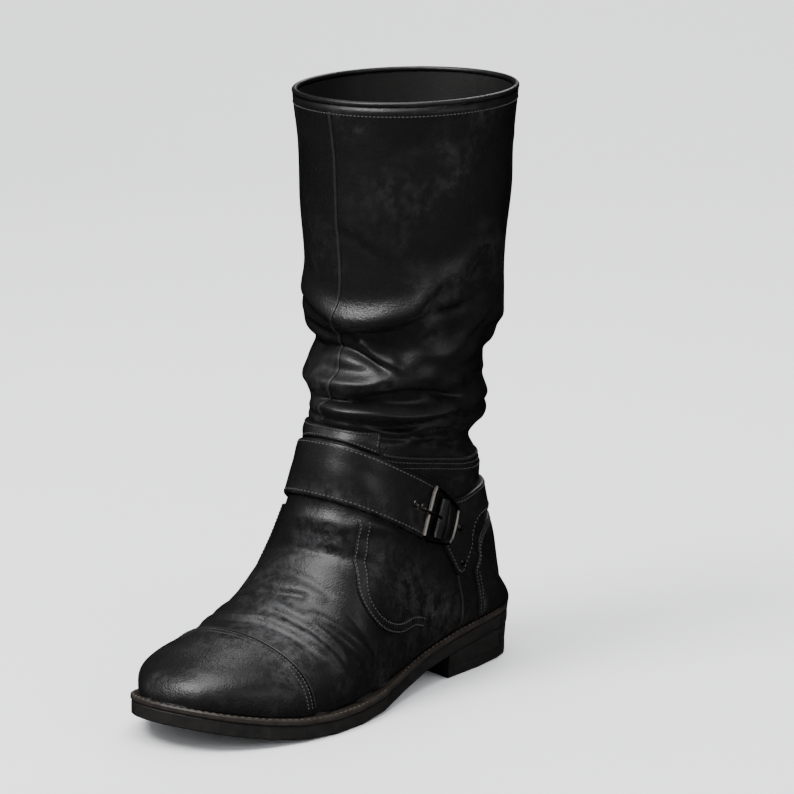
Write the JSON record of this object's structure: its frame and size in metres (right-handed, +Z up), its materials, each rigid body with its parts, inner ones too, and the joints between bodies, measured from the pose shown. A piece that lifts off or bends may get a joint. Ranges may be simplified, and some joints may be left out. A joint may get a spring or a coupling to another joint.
{
  "type": "mid-calf harness boot",
  "caption": "Black leather mid-calf boot with slouched ankle folds, plain toe cap, buckled ankle strap, inner side zip and low stacked heel.",
  "frame": {"origin": "on the ground under the middle of the heel tread", "axes": "+Z up, -Y towards the toe, +X towards the outer side of the left foot"},
  "size_m": [0.1361, 0.2997, 0.3578],
  "materials": {
    "upper_leather": "worn satin calf leather with wax scuffs",
    "strap_leather": "smooth satin strap leather",
    "insole_leather": "matte leather insole board",
    "welt_leather": "worn dark brown welt edge",
    "sole_rubber": "matte worn sole edge",
    "buckle_metal": "dark antiqued metal with worn bright edges",
    "zip_metal": "dark zip metal"
  },
  "bodies": {
    "boot": {"upper": "upper_leather", "toe_cap": "upper_leather", "heel_counter": "upper_leather", "vamp_seam_outer": "upper_leather", "vamp_seam_inner": "upper_leather", "front_tab": "upper_leather", "zip_guard_front": "upper_leather", "zip_guard_back": "upper_leather", "collar_binding": "upper_leather", "ankle_strap": "strap_leather", "heel_strap": "strap_leather", "roller_outer": "strap_leather", "roller_inner": "strap_leather", "insole": "insole_leather", "welt": "welt_leather", "outsole": "sole_rubber", "heel_stack": "sole_rubber", "heel_top_piece": "sole_rubber", "buckle_outer": "buckle_metal", "buckle_inner": "buckle_metal", "prong_outer": "buckle_metal", "prong_inner": "buckle_metal", "rivet_low_outer": "buckle_metal", "rivet_high_outer": "buckle_metal", "rivet_low_inner": "buckle_metal", "rivet_high_inner": "buckle_metal", "zip_slider": "zip_metal"},
    "zip_pull": {"zip_pull": "zip_metal"}
  },
  "joints": [
    {"name": "zip_pull_hinge", "type": "hinge", "parent": "boot", "child": "zip_pull", "pos_m": [-0.07426, -0.04554, 0.32037], "axis": [-0.0936, 0.9956, 0], "range_deg": [0, 150]}
  ]
}
